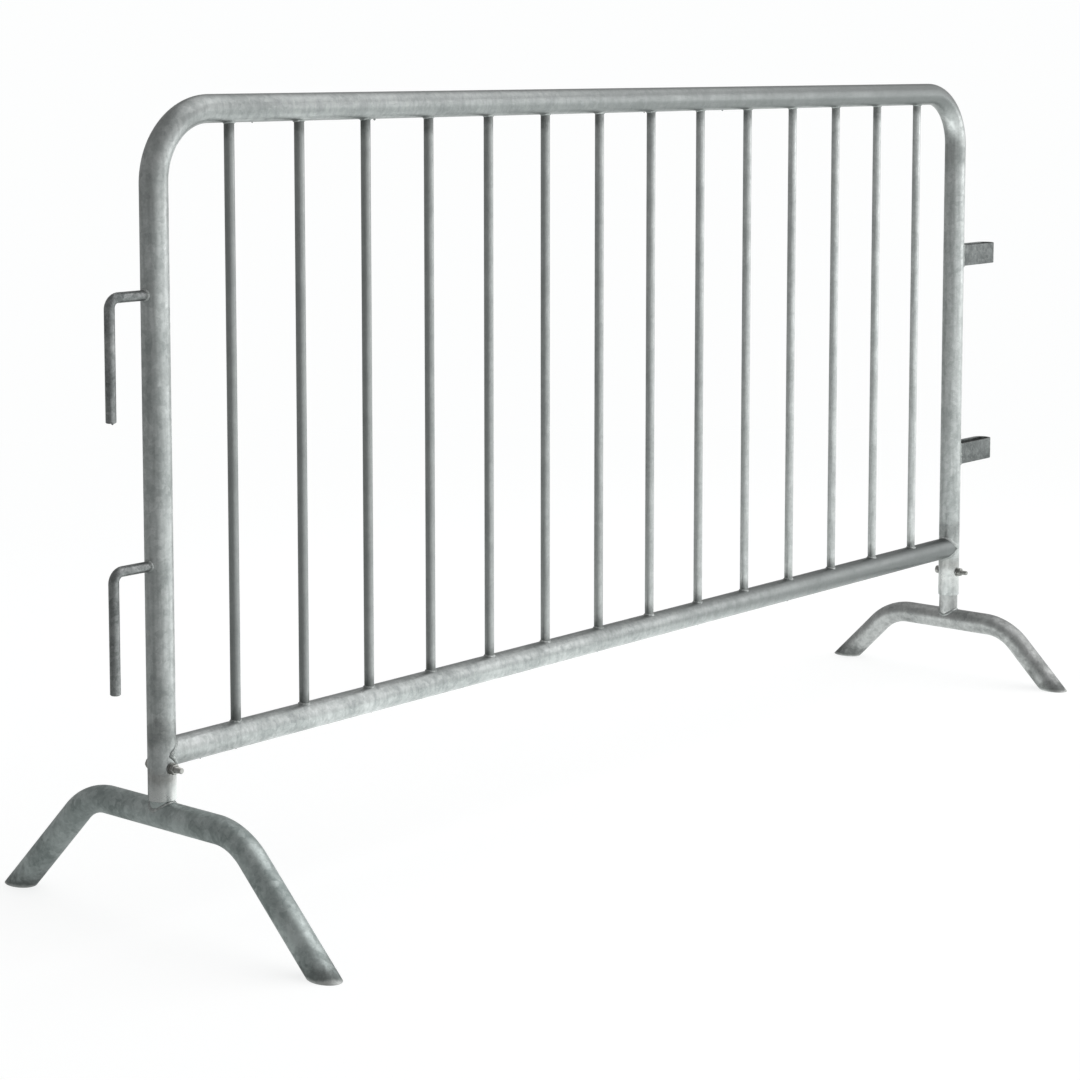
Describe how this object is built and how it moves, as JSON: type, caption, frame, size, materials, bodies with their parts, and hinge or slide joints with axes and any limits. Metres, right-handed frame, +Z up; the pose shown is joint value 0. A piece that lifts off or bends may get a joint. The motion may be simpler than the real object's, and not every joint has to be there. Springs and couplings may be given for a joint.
{
  "type": "crowd control barrier",
  "caption": "Galvanised tube barrier panel with upright bars, hooks on one post, loops on the other, and two removable bridge feet.",
  "frame": {"origin": "on the ground, at the centre of the whole footprint", "axes": "+X along the panel from the hook end to the loop end, +Y from the nut side to the bolt-head side, +Z up"},
  "size_m": [2.152, 0.6538, 1.1],
  "materials": {
    "hoop": "hot-dip galvanised, satin with a faint spangle",
    "rail": "hot-dip galvanised, satin with a faint spangle",
    "picket": "hot-dip galvanised, satin",
    "hook": "hot-dip galvanised, satin, rubbed on the rod",
    "loop": "hot-dip galvanised, satin",
    "foot": "hot-dip galvanised, duller and mottled",
    "fastener": "zinc plated, satin"
  },
  "bodies": {
    "panel": {"frame_hoop": "hoop", "bottom_rail": "rail", "picket_01": "picket", "picket_02": "picket", "picket_03": "picket", "picket_04": "picket", "picket_05": "picket", "picket_06": "picket", "picket_07": "picket", "picket_08": "picket", "picket_09": "picket", "picket_10": "picket", "picket_11": "picket", "picket_12": "picket", "picket_13": "picket", "picket_14": "picket", "hook_lower": "hook", "hook_upper": "hook", "loop_lower": "loop", "loop_upper": "loop"},
    "high_foot": {"high_foot_bridge": "foot", "high_foot_spigot": "foot"},
    "high_foot_bolt": {"high_foot_bolt": "fastener", "high_foot_back_washer": "fastener"},
    "high_foot_washer": {"high_foot_front_washer": "fastener"},
    "high_foot_nut": {"high_foot_nut": "fastener"},
    "low_foot": {"low_foot_bridge": "foot", "low_foot_spigot": "foot"},
    "low_foot_bolt": {"low_foot_bolt": "fastener", "low_foot_back_washer": "fastener"},
    "low_foot_washer": {"low_foot_front_washer": "fastener"},
    "low_foot_nut": {"low_foot_nut": "fastener"}
  },
  "joints": [
    {"name": "high_foot_slide", "type": "slide", "parent": "panel", "child": "high_foot", "axis": [0, 0, -1], "range_m": [0, 0.1]},
    {"name": "high_foot_bolt_slide", "type": "slide", "parent": "panel", "child": "high_foot_bolt", "axis": [0, 1, 0], "range_m": [0, 0.065]},
    {"name": "high_foot_nut_travel", "type": "slide", "parent": "panel", "child": "high_foot_washer", "axis": [0, -1, 0], "range_m": [0, 0.0187]},
    {"name": "high_foot_nut_spin", "type": "hinge", "parent": "high_foot_washer", "child": "high_foot_nut", "pos_m": [-0.992, -0.0241, 0.22], "axis": [0, -1, 0], "range_deg": [0, 5400]},
    {"name": "low_foot_slide", "type": "slide", "parent": "panel", "child": "low_foot", "axis": [0, 0, -1], "range_m": [0, 0.1]},
    {"name": "low_foot_bolt_slide", "type": "slide", "parent": "panel", "child": "low_foot_bolt", "axis": [0, 1, 0], "range_m": [0, 0.065]},
    {"name": "low_foot_nut_travel", "type": "slide", "parent": "panel", "child": "low_foot_washer", "axis": [0, -1, 0], "range_m": [0, 0.0187]},
    {"name": "low_foot_nut_spin", "type": "hinge", "parent": "low_foot_washer", "child": "low_foot_nut", "pos_m": [0.95, -0.0241, 0.192], "axis": [0, -1, 0], "range_deg": [0, 5400]}
  ],
  "couplings": [
    {"joint": "high_foot_nut_spin", "follows": "high_foot_nut_travel", "rad_per_m": 5026.5},
    {"joint": "low_foot_nut_spin", "follows": "low_foot_nut_travel", "rad_per_m": 5026.5}
  ]
}
